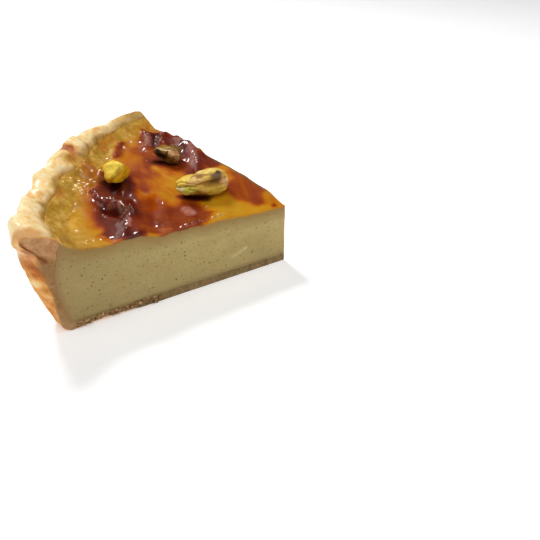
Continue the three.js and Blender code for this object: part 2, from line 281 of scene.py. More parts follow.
# Browned places on the skin, painted in this order over a golden ground: from (x, y), to (x, y),
# half-width, width of the soft border, and how brown: 0 golden, 0.5 red-brown, 1 nearly black.
# The dark ones round the kernels are partly dark caramel and partly painted shadow.
GROUND = 0.21
STAINS = [
    # the middle
    (-69, 32, -61, 16, 5.5, 6, 0.48), (-64, 12, -57, 1, 4.5, 6, 0.46), (-58, 19, -53, 14, 4, 5, 0.54),
    (-62, 4, -55, -3, 3.2, 4, 0.54), (-54, 0, -51, -12, 3, 5, 0.38), (-50, -15, -33, -13, 5, 5, 0.56),
    (-49, -21, -34, -18, 4.5, 3.5, 0.6), (-37, -12, -31, -14, 3, 4, 0.62), (-54, 12, -50, 11, 2, 4, 0.5),
    (-56, 13, -46, 5, 1, 3, 0.26), (-48, 13, -44, 9, 1.2, 3.5, 0.32), (-52, 1, -47, -4, 1.8, 4, 0.35),
    (-46, -1, -42, -8, 1.8, 4, 0.27), (-58, -0.5, -54.5, -2.5, 1.4, 3, 0.54),
    (-73, 12, -68, 17, 2, 5, 0.33),
    # round the kernels: partly dark caramel, partly painted shadow under them
    (-39, -4.5, -31, -4.5, 0.8, 2.6, 0.8), (-73, -0.5, -69, -2.5, 1, 2.6, 0.9),
    (-58, 17.5, -50, 16.5, 0.8, 2.8, 0.8),
    # the yellow strip towards the tip, and the smooth brown patch beside it
    (-27, -7, -10, -5, 3.4, 3.5, 0.2), (-23, 13, -13.5, 6.5, 3.4, 3.2, 0.52),
    (-21, 4.5, -12, 0, 3.2, 2.8, 0.54), (-31, 20, -24.5, 11, 1.2, 3.2, 0.25),
    (-6, 2, -2, 0, 2.4, 3, 0.28), (-4.6, -0.9, -4.2, -0.6, 0.7, 1.2, 0.5),
    # the dark wrinkles at the front
    (-77, 2, -74, -14, 2, 4.5, 0.38), (-72, -16, -63.5, -29, 3, 4, 0.42), (-73, 2, -68, -8, 3, 3.5, 0.7),
    (-69, -8, -62, -25.5, 4, 2.8, 0.76), (-60, -20, -56, -33, 4.2, 2.5, 0.78),
    (-66, 1, -49.5, -33, 2.8, 2.2, 0.88), (-67, -19, -61, -21.5, 1.2, 2, 1),
    (-50, -29, -36, -24, 3, 2.2, 0.62), (-47, -29.5, -39, -26.5, 0.8, 1.6, 0.5),
    (-60, -37.5, -52, -38, 0.4, 1.5, 0.34),
    # the dark wrinkles at the back
    (-71, 42, -63, 34, 3.6, 3.5, 0.7), (-58, 40, -52, 30, 3.2, 3, 0.72), (-47, 31, -39, 15, 4, 3.5, 0.74),
    (-37, 26, -33, 21, 2.6, 2.5, 0.68), (-53, 22, -47, 16, 3, 5, 0.6), (-65, 40, -63, 33, 1.6, 2, 0.94),
    (-50, 36, -49, 26, 1.2, 2, 0.86), (-75, 43, -72, 31, 1.4, 2.5, 0.31),
    (-72, 49, -57, 42, 1.6, 2.4, 0.37), (-47, 37.5, -44.5, 34, 1, 2, 0.5),
    (-77, 29, -75.5, 18, 0.9, 2.6, 0.62), (-83, 32, -81, 29, 1.2, 2.6, 0.38),
    # the glossy, bubbled place by the rim
    (-82, 6, -77, -4, 2.4, 4, 0.37), (-80, 4, -78, -1, 1.2, 3, 0.46),
    (-84, -17, -82, -20, 1.2, 2.5, 0.42), (-84, 27, -82, 21, 1.2, 2.5, 0.4),
]


# Sharp little folds that catch the light: from (x, y), to (x, y), half-width and height.
PINCHES = [
    (-71.2, -12.7, -70, -14.4, 0.7, 0.42), (-70, -14.4, -68.3, -15.1, 0.7, 0.42),
    (-68.3, -15.1, -63.4, -16.7, 0.7, 0.42), (-69.7, -10.7, -65.5, -12.9, 0.7, 0.38),
    (-65.5, -12.9, -63.8, -13.6, 0.7, 0.38), (-63.8, -13.6, -64.7, -11.4, 0.6, 0.3),
    (-65.4, -6.7, -65, -7, 0.6, 0.3), (-59.3, -15.4, -59, -15.8, 0.6, 0.3),
    (-57.3, -19.8, -54.8, -20.3, 0.8, 0.5), (-54.8, -20.3, -53.8, -21.9, 0.8, 0.5),
    (-53.3, -26.4, -52, -30.9, 0.9, 0.4), (-58.5, -36.6, -52.5, -34.6, 0.6, 0.34),
    (-70, -46, -62.8, -40.8, 0.9, 0.42), (-62.8, -40.8, -58, -37.2, 0.8, 0.36),
    (-45.6, -10.8, -45, -11, 0.6, 0.35), (-44.8, -22.8, -42.2, -24.8, 0.7, 0.4),
    (-34.7, -24.4, -31.1, -20.9, 0.6, 0.4), (-31.1, -20.9, -28.9, -18.9, 0.7, 0.45),
    (-28.9, -18.9, -24.9, -15.5, 0.5, 0.34), (-24.9, -15.5, -21, -11.6, 0.5, 0.34),
    (-29.2, -8.2, -28.2, -8.2, 1, 0.5), (-68.8, 40, -68.5, 39.6, 0.7, 0.36),
    (-65.7, 38.3, -65.4, 37.9, 0.7, 0.36), (-61.1, 40.1, -61.3, 37.6, 0.6, 0.4),
    (-61.3, 37.6, -62.8, 35.2, 0.6, 0.4), (-65.2, 29.8, -64.8, 29.4, 0.8, 0.36),
    (-61.7, 19, -61.4, 18.8, 0.6, 0.3), (-52.9, 41.1, -51.3, 35.9, 0.8, 0.44),
    (-48.9, 33.8, -48.6, 33.3, 0.8, 0.4), (-45.7, 22.4, -45.4, 22, 0.8, 0.4),
    (-44.4, 31, -40.5, 20, 1, 0.45),
]


def from_line(x, y, x0, y0, x1, y1):
    """Where places lie along a line, from 0 to 1, and how far they are from it."""
    dx, dy = x1 - x0, y1 - y0
    t = clamp01(((x - x0) * dx + (y - y0) * dy) / (dx * dx + dy * dy))
    return t, np.hypot(x - x0 - t * dx, y - y0 - t * dy)


def pinch_height(x, y, x0, y0, x1, y1, wide, high):
    t, distance = from_line(x, y, x0, y0, x1, y1)
    beads = 0.65 + 0.35 * np.cos(2.7 * t * math.hypot(x1 - x0, y1 - y0))
    return high * beads * gauss(distance, wide)


def stroke(x, y, x0, y0, x1, y1, half, soft):
    """1 on a line, falling to 0 from about half of its width over the soft border."""
    distance = from_line(x, y, x0, y0, x1, y1)[1]
    return 1 - smooth(distance, half - 0.35 * soft, half + soft)


def strokes(x, y, rows):
    return np.max([stroke(x, y, *row) for row in rows], 0)


def warped(x, y, amount, size, seed):
    """Places moved a little at random, which frays the borders of what is painted there."""
    points = flat_points(x, y)
    return x + amount * fractal(points, size, 4, seed), y + amount * fractal(points, size, 4, seed + 9)


def browning(x, y):
    wx, wy = warped(x, y, 1.7, 8, 3)
    value = np.full_like(x, GROUND)
    for *line, amount in STAINS:
        value = mix(value, amount, stroke(wx, wy, *line))
    streaks = wrinkle_noise(x, y, 2.4, 71)
    value += 0.1 * streaks * smooth(value, 0.18, 0.36) * smooth(np.hypot(x, y), 76, 66)
    middle = smooth(np.hypot(x + 52, y - 4), 17, 8)
    return value + 0.13 * middle * wrinkle_noise(x, y, 2.2, 75, STREAK_HEADING)


def greenness(x, y, angle):
    """How far the skin keeps the olive colour of the custard, as it does by the rim."""
    r = np.hypot(x, y) + 1.6 * fractal(flat_points(x, y), 6, 3, 21)
    return 1 - smooth(custard_edge(angle) - r, 4, 15)


def wrinkle_noise(x, y, size, seed, heading=WRINKLE_HEADING):
    c, s = math.cos(heading), math.sin(heading)
    lengthwise, across = x * c + y * s, x * s - y * c
    return fractal(flat_points(lengthwise / WRINKLE_STRETCH, across), size, 3, seed)


def bubbles(x, y, count, seed, region, radius, high):
    """Small round blisters, scattered over a ring sector: (r low, r high, angle low, angle high)."""
    random = np.random.default_rng(SEED + seed)
    r = random.uniform(*region[:2], count)
    angle = random.uniform(*region[2:], count)
    total = np.zeros_like(x)
    for cx, cy, wide in zip(*flat_place(r, angle), random.uniform(*radius, count)):
        near = (np.abs(x - cx) < 2 * wide) & (np.abs(y - cy) < 2 * wide)
        d2 = ((x[near] - cx) ** 2 + (y[near] - cy) ** 2) / wide**2
        total[near] = np.maximum(total[near], high * wide * np.exp(-d2 * d2))
    return total


# How far the skin dips where it meets the crust, and the blisters on it: how many, seed, ring sector,
# range of radius, and height against the radius.
EDGE_DIP = 0.2
BLISTERS = [
    (60, 1, (75, 84, -6, 8), (0.7, 1.4), 0.75),
    (90, 2, (77, 88, -36, 36), (0.6, 1.2), 0.4),
    (16, 3, (70, 80, -36, -20), (0.7, 1), 0.2),
]


def fissures(x, y, size, wide, seed):
    """1 along thin wandering lines about size mm apart, 0 between them."""
    return 1 - smooth(np.abs(noise(flat_points(x, y), size, seed)), 0, wide)


def rim_furrows(x, y):
    """Thin furrows that run along the rim."""
    arc = 84 * np.arctan2(-y, -x)
    lines = fissures(np.hypot(x, y), arc / 2.6, 3.4, 0.3, 57)
    return lines * smooth(noise(flat_points(x, y), 6.5, 59), -0.5, 0.5)


def skin_relief(x, y, r, brown, edge):
    """Fine relief of the skin: wrinkles where it is dark, blisters and furrows by the rim."""
    flat = flat_points(x, y)
    relief = 0.035 * smooth(brown, 0.55, 0.85) * (1 - 2 * np.abs(wrinkle_noise(x, y, 4.2, 31)))
    relief += sum(pinch_height(x, y, *pinch) for pinch in PINCHES)
    relief += 0.08 * fractal(flat, 5, 2, 51)
    relief += smooth(r, 70, 79) * (0.42 * fractal(flat, 3.6, 2, 55) - 0.3 * rim_furrows(x, y))
    relief += sum(bubbles(x, y, *row) for row in BLISTERS)
    return relief * smooth(edge - r, -0.2, 1.2) - EDGE_DIP * smooth(edge - r, 2, 0)


# Painted shadow under the kernels, near black and without the film: from (x, y), to (x, y), half-width,
# width of the border.
KERNEL_SHADOWS = [
    (-71.5, -1.5, -66.5, -5.5, 2.2, 2.2), (-38, -3.6, -31, -3.6, 1.5, 2.4), (-57, 18, -50, 18, 1.2, 2.4),
]
# Places without a film, in the same way.
CALM = [
    (-51.5, -8, -49, -14.5, 1.8, 2), (-74.5, -26, -71, -35, 1.5, 2.5), (-74.4, 17.5, -74.2, 15, 0.8, 1.2),
    (-63.6, -8.4, -62.6, -10, 0.9, 1.4), (-65.5, -19.5, -60, -22.5, 1.3, 1.6),
    (-57.5, -13, -56, -17, 0.9, 1.4),
]
# Painted sheen, a pinkish reflection on some ridges of the film, in the same way.
PAINTED_SHEEN = [
    (-36.6, -12.2, -34.2, -14.2, 1.6, 1), (-53, -27, -52.2, -30, 0.5, 0.8),
    (-60.4, -16.8, -60, -18, 0.5, 0.8), (-45, 31, -41.5, 20, 1.2, 1.8), (-52.5, 40, -51, 35, 0.7, 1.2),
    (-67, 37, -65.5, 31, 0.9, 1.4),
]


# ---- Meshes ----


# Corners of a solid closer than this are one, in mm.
SAME_PLACE = 0.0005


class Solid:
    """A closed mesh put together from grids of points that share their borders."""

    def __init__(self, name):
        self.name = name
        self.parts = []
        self.count = 0

    def sheet(self, points, slot, **values):
        """A grid of points, with named values that are spread over it."""
        rows, cols = points.shape[:2]
        first = np.arange(rows - 1)[:, None] * cols + np.arange(cols - 1) + self.count
        quads = np.stack([first, first + 1, first + cols + 1, first + cols], -1).reshape(-1, 4)
        values = {key: np.broadcast_to(value, (rows, cols)).ravel() for key, value in values.items()}
        self.parts.append((points.reshape(-1, 3), quads, np.full(len(quads), slot), values))
        self.count += rows * cols

    def build(self, *materials):
        """The Blender object, with corners that coincide made one, and its faces turned outwards."""
        points, faces, slots = (np.concatenate(rows) for rows in list(zip(*self.parts))[:3])
        places = np.round(points / SAME_PLACE).astype(np.int64)
        _, keep, index = np.unique(places, axis=0, return_index=True, return_inverse=True)
        rings = []
        ring_slots = []
        for face, slot in zip(index.ravel()[faces].tolist(), slots.tolist()):
            ring = [v for k, v in enumerate(face) if v != face[k - 1]]
            if len(set(ring)) == len(ring) > 2:
                rings.append(ring)
                ring_slots.append(slot)
        mesh = bpy.data.meshes.new(self.name)
        mesh.from_pydata((points[keep] * MM).tolist(), [], rings)
        mesh.polygons.foreach_set("material_index", ring_slots)
        for key in dict.fromkeys(key for *_, values in self.parts for key in values):
            column = [values.get(key, np.zeros(len(spots))) for spots, *_, values in self.parts]
            write_values(mesh, **{key: np.concatenate(column)[keep]})
        turn_outwards(mesh)
        mesh.shade_smooth()
        for material in materials:
            mesh.materials.append(material)
        return add_object(self.name, mesh)


def add_object(name, data):
    thing = bpy.data.objects.new(name, data)
    bpy.context.scene.collection.objects.link(thing)
    return thing


def turn_outwards(mesh):
    work = bmesh.new()
    work.from_mesh(mesh)
    bmesh.ops.recalc_face_normals(work, faces=work.faces)
    work.to_mesh(mesh)
    work.free()


def read(rows, key, width=3):
    flat = np.empty(len(rows) * width, np.float32)
    rows.foreach_get(key, flat)
    return flat.reshape(-1, width).astype(float)


def read_shape(mesh):
    """The corners in mm and their normals."""
    return read(mesh.vertices, "co") / MM, read(mesh.vertex_normals, "vector")


def read_values(mesh, *names):
    return [read(mesh.attributes[name].data, "value", 1)[:, 0] for name in names]


def write_values(mesh, **values):
    """Named values at the corners, which the materials read."""
    for name, value in values.items():
        mesh.attributes.new(name, "FLOAT", "POINT").data.foreach_set("value", np.asarray(value, np.float32))


def write_points(mesh, points):
    mesh.vertices.foreach_set("co", (points * MM).astype(np.float32).ravel())
    mesh.update()


# ---- The custard ----

TOP_STEP = 0.5
CUT_ROWS = 58
ANGLES = np.linspace(-HALF_ANGLE, HALF_ANGLE, 221)

# Cream smears on the front cut: from (r, z), to (r, z), half-width and width of the border.
SMEARS = [
    (17.7, 12.4, 23.5, 10.2, 0.3, 0.9), (51.4, 29.2, 52.4, 29.4, 0.5, 0.8),
]


def skin_surface(u, angle):
    """Radius, height and (x, y) of the visible skin at share u of the way to the custard's edge."""
    edge = custard_edge(angle)
    r = u * edge
    x, y = flat_place(r, angle)
    brown = browning(x, y)
    return r, top_height(r, angle) + skin_relief(x, y, r, brown, edge), x, y, brown


def make_custard(*materials):
    solid = Solid("flan_custard")
    u = np.linspace(0, 1, int(max(custard_edge(ANGLES)) / TOP_STEP) + 1)[:, None]
    r, z, x, y, brown = skin_surface(u, ANGLES)
    z[0] = z[0].mean()
    olive = greenness(x, y, ANGLES)
    # painted shadow under the kernels
    dull = strokes(x, y, KERNEL_SHADOWS)
    off_back = r * np.sin(np.radians(HALF_ANGLE + ANGLES))
    solid.sheet(
        place(r, ANGLES, z), 0, brown=brown, olive=olive, dull=dull, depth=0,
        calm=np.maximum(dull, strokes(x, y, CALM)),
        # painted sheen: a pinkish reflection on some ridges
        milky=strokes(x, y, PAINTED_SHEEN),
        furrow=smooth(r, 68, 78) * rim_furrows(x, y),
        rind=gauss(off_back, 0.9) * smooth(r, 46, 38) * smooth(r, 6, 12),
    )
    v = np.linspace(0, 1, CUT_ROWS) ** 0.9
    foot = []
    for side, angle in ((0, -HALF_ANGLE), (-1, HALF_ANGLE)):
        top = z[:, side, None]
        height = mix(BASE_TOP, top, v)
        reach = wall_inner(angle, height[-1])
        radius = u * reach
        solid.sheet(
            place(radius, angle, height), 1, brown=brown[:, side, None], olive=olive[:, side, None],
            depth=top - height, wallward=smooth(reach - radius, 9, 0), far=smooth(radius, 20, 84),
            smear=strokes(radius, height, SMEARS) if side else 0,
        )
        foot.append(place(radius[:, 0], angle, BASE_TOP))
    top = z[-1, :, None]
    height = mix(BASE_TOP, top, v)
    round_wall = place(wall_inner(ANGLES[:, None], height), ANGLES[:, None], height)
    solid.sheet(round_wall, 1, depth=top - height, wallward=1, olive=1)
    loop = np.concatenate([foot[0], round_wall[1:, 0], foot[1][-2::-1]])
    middle = np.broadcast_to(place(45, 0, BASE_TOP), loop.shape)
    solid.sheet(np.stack([loop, middle]), 1, depth=30)
    return solid.build(*materials)


def roughen_custard(piece):
    """Slight unevenness left by the knife on the cuts."""
    points, normals = read_shape(piece.data)
    depth, = read_values(piece.data, "depth")
    drag = fractal(points * (0.25, 0.25, 1), 2.4, 3, 71)
    lumps = fractal(points, 6, 2, 81)
    points += normals * (smooth(depth, 0, 1.5) * (0.05 * drag + 0.12 * lumps))[:, None]
    write_points(piece.data, points)


# ---- The crust ----

BASE_STEPS, FOOT_STEPS, WALL_STEPS, RIM_STEPS = 84, 6, 48, 44
CUT_COLUMNS = 17
FLOOR_END = 86.2
HEEL_Z = 4.2
WALL_TOP_Z = 31

# How round the edges along the cuts are, in mm.
FRONT_ROUND, BACK_ROUND, SIDE_ROUND, WALL_ROUND, FOLD_ROUND = 2.8, 1.2, 0.9, 0.5, 1


def rounded(outer, angle, station):
    """Draws the outline in next to the cuts, so that the rim's edges there are round."""
    along_outline = np.gradient(outer, axis=0)
    along_outline /= np.linalg.norm(along_outline, axis=-1, keepdims=True) + 1e-9
    outwards = np.stack([along_outline[..., 1], -along_outline[..., 0]], -1)
    side = smooth(station, 2.9, 3.1) * smooth(station, 3.45, 3.2)
    crest = smooth(station, 3.2, 3.5) * smooth(4 - station, 0, 0.35)
    walls = smooth(station, 1, 1.5) * smooth(4 - station, 0, 0.35)
    for radius, gap in ((FRONT_ROUND, HALF_ANGLE - angle), (BACK_ROUND, HALF_ANGLE + angle)):
        fold = FOLD_ROUND * smooth(outer[..., 1], 20, 31) * (radius == FRONT_ROUND)
        rim = side * SIDE_ROUND + crest * radius
        reach = np.maximum(walls[:, None] * (WALL_ROUND + fold), rim[:, None]) + 1e-6
        away = outer[..., 0] * np.sin(np.radians(np.maximum(gap, 0)))[None, :]
        inset = reach * (1 - np.sqrt(1 - clamp01(1 - away / reach) ** 2))
        outer = outer - outwards * inset[..., None]
    return outer


def steps(count):
    return np.arange(count) / count


def crust_curves(angle):
    """Outer and inner outline at every angle, as arrays of (r, z), and a station along them."""
    foot = wall_outer(angle, FOOT_ROUND) - FOOT_ROUND
    rows = [(foot * t, underside(foot * t, angle), FLOOR_END * t, BASE_TOP, t) for t in steps(BASE_STEPS)]
    heel = wall_inner(angle, HEEL_Z)
    for t in steps(FOOT_STEPS):
        turn = t * math.pi / 2
        rows.append((foot + FOOT_ROUND * math.sin(turn), FOOT_ROUND * (1 - math.cos(turn)),
                     mix(FLOOR_END, heel, t), mix(BASE_TOP, HEEL_Z, t), 1 + t))
    for t in steps(WALL_STEPS):
        z, z_in = mix(FOOT_ROUND, COLLAR_Z, t), mix(HEEL_Z, WALL_TOP_Z, t)
        rows.append((wall_outer(angle, z), z, wall_inner(angle, z_in), z_in, 2 + t))
    controls = rim_points(angle)
    for t in [*steps(RIM_STEPS), 1]:
        z_in = mix(WALL_TOP_Z, edge_height(angle), t)
        rows.append((*spline(controls, t).T, wall_inner(angle, z_in), z_in, 3 + t))
    table = np.array([stacked(*row, angle) for row in rows])
    station = table[:, 0, 4]
    return rounded(table[..., :2], angle, station), table[..., 2:4], station


# How far the custard's colour reaches into the cut crust, in mm.
DAMP = 0.7


def make_crust(*materials):
    solid = Solid("flan_crust")
    outer, inner, station = crust_curves(ANGLES)
    station = station[:, None]
    off_cut = outer[..., 0] * np.sin(np.radians(HALF_ANGLE - np.abs(ANGLES)))
    solid.sheet(place(outer[..., 0], ANGLES, outer[..., 1]), 0, station=station, outside=1, angle=ANGLES,
                inward=-off_cut)
    solid.sheet(place(inner[..., 0], ANGLES, inner[..., 1]), 1, station=station, angle=ANGLES, inward=3)
    t = np.linspace(0, 1, CUT_COLUMNS)
    for side in (0, -1):
        across = mix(inner[:, side, None], outer[:, side, None], t[:, None])
        thick = np.linalg.norm(outer[:, side] - inner[:, side], axis=-1)[:, None]
        solid.sheet(place(across[..., 0], ANGLES[side], across[..., 1]), 1, station=station,
                    angle=ANGLES[side], inward=(1 - t) * thick, damp=gauss(t * thick, DAMP), outside=t == 1)
    return solid.build(*materials)


# Creases between the rim's knuckles: angle at the crest, lean in degrees from outside to inside,
# depth in mm and half-width in degrees.
CREASES = [
    (27.2, 3, 0.25, 1.6), (17, 5.5, 0.35, 1.2), (11.2, -4, 0.2, 1), (6.2, 5, 0.25, 1.3),
    (0.8, 4, 0.15, 1), (-4.2, -1.5, 1.1, 0.8), (-11.8, 3.5, 0.2, 1), (-19.5, 4, 0.4, 1.3),
    (-27, 3, 0.2, 1.2), (-33, 2, 0.2, 1),
]
# Hollows in the rim: radius, angle, height, sizes along r, round the rim and upwards, depth.
POCKETS = [
    (91.4, -5.6, 41.8, 3.6, 1.5, 2, 2), (87.2, -2.4, 39.2, 3, 2.8, 2.4, 1.5),
]
# Lumps of dough on the rim: radius, angle, half-width and height in mm.
LUMPS = [
    (89.5, 24.5, 3.4, 0.9), (88, 15.8, 2.6, 0.8), (86.6, 12.6, 2.4, 0.6), (88.5, 6, 2.6, 0.5),
    (89, -8.5, 3.2, 0.6), (90.5, -14.5, 2.6, 0.6), (92.5, 20, 2.2, 0.5), (93, 9.5, 2.4, 0.5),
    (91, 31, 3, 0.5), (91.5, -20, 2, 0.5), (91.5, 1.5, 2.2, 0.5), (86.8, 19.5, 1.8, 0.4),
]


def pocket_depth(points, r, angle, z, along_r, around, up, deep):
    turn = math.radians(angle)
    outward = np.array([-math.cos(turn), -math.sin(turn)])
    sideways = np.array([math.sin(turn), -math.cos(turn)])
    offset = points[:, :2] - place(r, angle, z)[:2]
    return (deep * gauss(offset @ outward, along_r) * gauss(offset @ sideways, around)
            * gauss(points[:, 2] - z, up))


def spot(points, r, angle, wide):
    """1 at a polar place of the rim, falling to 0 round it."""
    away = points[:, :2] - place(r, angle, 0)[:2]
    return gauss(np.hypot(away[:, 0], away[:, 1]), wide)


def crease_depth(station, angle):
    return np.max([deep * gauss(angle - (at + lean * (station - 3.5)), wide)
                   for at, lean, deep, wide in CREASES], 0)


# Where the folded dough ends on the front cut: (r, z) points of the seam.
SEAM = [(96.4, 41.6), (93.8, 38.4), (91.5, 34.9), (89.2, 32.4)]


# Glaze that ran into hollows of the rim: radius, angle and half-width in mm.
RUNS = [(88, -1.6, 3), (85.5, -4.5, 2.2), (86.5, 12, 2), (88, 20.5, 1.6)]


# Paler and darker places on the wall by the front cut: angle, height, half-width in mm and change.
TONES = [
    (33.2, 21.3, 2.3, -2.4), (34.2, 29, 2, 1.1), (35.8, 37, 2.4, 1.2), (34.5, 16, 1.8, -1.2),
    (35.6, 9, 1.6, 0.4), (35, 12.5, 1, 0.8), (34, 25.6, 0.9, 0.8),
]


def seam_distance(r, z):
    """Distance from the seam on the front cut, negative on the wall's side of it."""
    nearest = np.full(len(r), np.inf)
    for (r0, z0), (r1, z1) in zip(SEAM, SEAM[1:]):
        distance = from_line(r, z, r0, z0, r1, z1)[1]
        side = np.sign((r - r0) * (z1 - z0) - (z - z0) * (r1 - r0))
        nearest = np.where(distance < np.abs(nearest), distance * side, nearest)
    return nearest


def wall_shade(points, radius, station, angle, outside):
    """Browner places by the front cut that paint shade where the pastry rounds off towards it, with paler
    and darker patches of the wall there.
    """
    shade = smooth(angle, 31, 35.5) * smooth(station, 2.4, 2.7) * smooth(3.62 - station, 0, 0.2)
    shade *= smooth(points[:, 2], 42, 37)
    for at, z, wide, change in TONES:
        away = np.hypot(radius * np.radians(angle - at), points[:, 2] - z)
        shade += change * gauss(away, wide) * outside
    return shade


def soaking(points, station, angle, knobs, on_rim):
    """Where custard and glaze baked onto the rim."""
    soaked = smooth(-angle, 22, 32) * smooth(station, 3.1, 3.5) + smooth(station + 0.12 * knobs, 3.82, 3.97)
    return clamp01(soaked + 0.9 * on_rim * sum(spot(points, *run) for run in RUNS))


def shape_crust(piece):
    """Creases, hollows, blisters and crumbs, and the values that colour the pastry."""
    mesh = piece.data
    points, normals = read_shape(mesh)
    station, outside, angle, inward = read_values(mesh, "station", "outside", "angle", "inward")
    cut = 1 - outside
    radius = np.hypot(points[:, 0] - TIP_X, points[:, 1])
    on_rim = smooth(station, 2.75, 3.15) * outside * smooth(4 - station, 0, 0.12)
    wall = smooth(station, 1.9, 2.1) * outside * (1 - on_rim)
    lumps = fractal(points, 6, 3, 91)
    knobs = fractal(points, 4.2, 2, 95)
    flaky = fractal(points * (1, 1, 1.6), 2, 1, 101)
    ragged = 0.6 * fractal(points, 2.6, 3, 151)
    blister = np.maximum(0, fractal(points, 3, 2, 111) - 0.25)
    crease = crease_depth(station, angle) * on_rim
    hollow = sum(pocket_depth(points, *pocket) for pocket in POCKETS) * on_rim

    relief = on_rim * (0.3 * lumps + 0.4 * knobs + 0.05 * flaky + 0.45 * blister)
    relief += on_rim * sum(high * spot(points, *place_of) for *place_of, high in LUMPS)
    near_front = outside * smooth(angle, 27, 34) * smooth(station, 2.3, 2.6) * smooth(station, 3.35, 3.1)
    relief += wall * (0.4 * lumps + 0.14 * flaky) + near_front * 0.5 * lumps

    front_cut = cut * (angle > HALF_ANGLE - 0.1) * smooth(station, 2.3, 2.6)
    from_seam = seam_distance(radius, points[:, 2])
    seam = front_cut * gauss(from_seam + 0.9 * ragged, 0.7 + 0.9 * smooth(radius, 92.5, 95))
    fold_side = smooth(angle, HALF_ANGLE - 3, HALF_ANGLE - 1) * smooth(points[:, 2], 29, 32)
    fold_side *= smooth(-from_seam + ragged, -0.3, 1) * smooth(radius - 91.2 + ragged, -0.4, 1)
    inward = inward + ragged
    dough = mix(smooth(inward, -1.4, 0), smooth(inward, -0.4, 1.6), smooth(station, 2.95, 3.2))
    # tan: painted shade where the crest rounds off towards the front cut
    tan = smooth(inward, -1.9, -0.5) * smooth(inward, 2, 0.2) * smooth(station, 3.1, 3.35)
    flap = front_cut * smooth(station, 2.7, 3)
    relief += cut * (0.1 * flaky + 0.08 * lumps) + flap * (0.3 + 0.7 * lumps + 0.35 * knobs) - 0.7 * seam
    relief -= crease + hollow
    cut_edge = smooth(HALF_ANGLE - np.abs(angle), 0, 1)
    points += normals * relief[:, None] * np.where(outside > 0.5, 0.35 + 0.65 * cut_edge, 1)[:, None]
    write_points(mesh, points)
    write_values(
        # hollow and crease darken the rim's hollows, creases and low places, partly baking and partly
        # painted shade; tan and shade are painted shade by the front cut, shade with paler and darker
        # patches of the wall too
        mesh, rim=on_rim, seam=clamp01(seam), hollow=clamp01(hollow), dough=dough * (1 - fold_side),
        crease=clamp01(crease / 0.8 + 0.7 * np.maximum(0, -knobs - 0.05) * on_rim),
        chips=cut * smooth(radius, 56, 66) * smooth(radius, 90, 87),
        tan=tan * smooth(4 - station, 0.06, 0.3),
        shade=wall_shade(points, radius, station, angle, outside),
        soaked=soaking(points, station, angle, knobs, on_rim) * outside,
    )


# ---- Kernels ----

# Marks on a kernel, painted in order over its ground colour: place along it from -1 to 1, place
# round it in degrees (90 is on top), half-widths of both, and colour from 0 to 255.
KERNELS = [
    Record(
        name="kernel_whole", node="pistachio_whole", at=(-32.7, -1), heading=28, tilt=0,
        form=Record(length=20.6, width=11.8, height=10.6, squareness=0.74, point=0.38, split=0.26,
            split_at=2.8, shave=0, seed=1),
        wrinkles=0.5, ground=(228, 192, 80),
        marks=[
            (-0.75, 110, 0.36, 30, 238, 212, 80), (0.25, 84, 0.4, 16, 250, 224, 130),
            (-0.3, 134, 0.36, 18, 250, 208, 132), (-0.05, 114, 0.4, 7, 150, 104, 50),
            (0.5, 142, 0.34, 28, 142, 112, 58), (0.05, 172, 0.3, 12, 226, 190, 82),
            # the next two dark marks: brown skin, deepened with painted shade in the hollow there
            (0.6, 128, 0.24, 24, 118, 90, 62), (0.68, 116, 0.16, 16, 88, 62, 52),
            (0.88, 168, 0.18, 30, 240, 192, 138), (0.4, 205, 0.34, 18, 208, 176, 66),
            (-0.1, 204, 0.3, 12, 222, 180, 92), (-0.66, 186, 0.34, 26, 222, 222, 92),
            # the near-white mark at the left end (-0.92) is a painted highlight
            (-0.92, 172, 0.2, 18, 252, 246, 190), (-0.62, 160, 0.42, 5, 128, 100, 28),
        ],
    ),
    Record(
        name="kernel_yellow", node="pistachio_yellow", at=(-66.9, -1.8), heading=50, tilt=16,
        form=Record(length=10.2, width=7.8, height=8.8, squareness=0.66, point=0.12, split=0,
            split_at=0, shave=6, seed=4),
        wrinkles=0.32, ground=(244, 190, 26),
        marks=[
            (0, 125, 0.9, 50, 255, 226, 88), (0.2, 30, 0.9, 30, 228, 158, 6),
            (-0.8, 100, 0.3, 60, 226, 186, 66), (-0.7, -20, 0.4, 40, 176, 150, 40),
        ],
    ),
    Record(
        name="kernel_dark", node="pistachio_dark", at=(-52.4, 19.6), heading=-6, tilt=-5,
        form=Record(length=13.4, width=9.4, height=8.8, squareness=0.72, point=0.6, split=0.1,
            split_at=3.4, shave=9, seed=7),
        wrinkles=0.66, ground=(122, 90, 28),
        marks=[
            (-0.15, 95, 0.6, 28, 184, 150, 48), (0.5, 128, 0.35, 40, 226, 172, 116),
            (0.2, 150, 0.12, 30, 84, 52, 26), (-0.25, 190, 0.5, 34, 30, 18, 8),
            # the near-black mark at 190 degrees is painted shade on the kernel's underside
            (-0.1, 128, 0.55, 7, 226, 200, 140), (0.3, 112, 0.3, 6, 66, 40, 18),
            (0.62, 150, 0.3, 9, 236, 198, 150), (-0.55, 150, 0.2, 20, 44, 28, 12),
            (-0.9, 110, 0.2, 30, 178, 158, 80), (0.7, 195, 0.3, 26, 150, 112, 64),
        ],
    ),
]
KERNEL_RINGS, KERNEL_SIDES = 90, 96
SHAVE_TO = 0.8
SUNK = 0.1


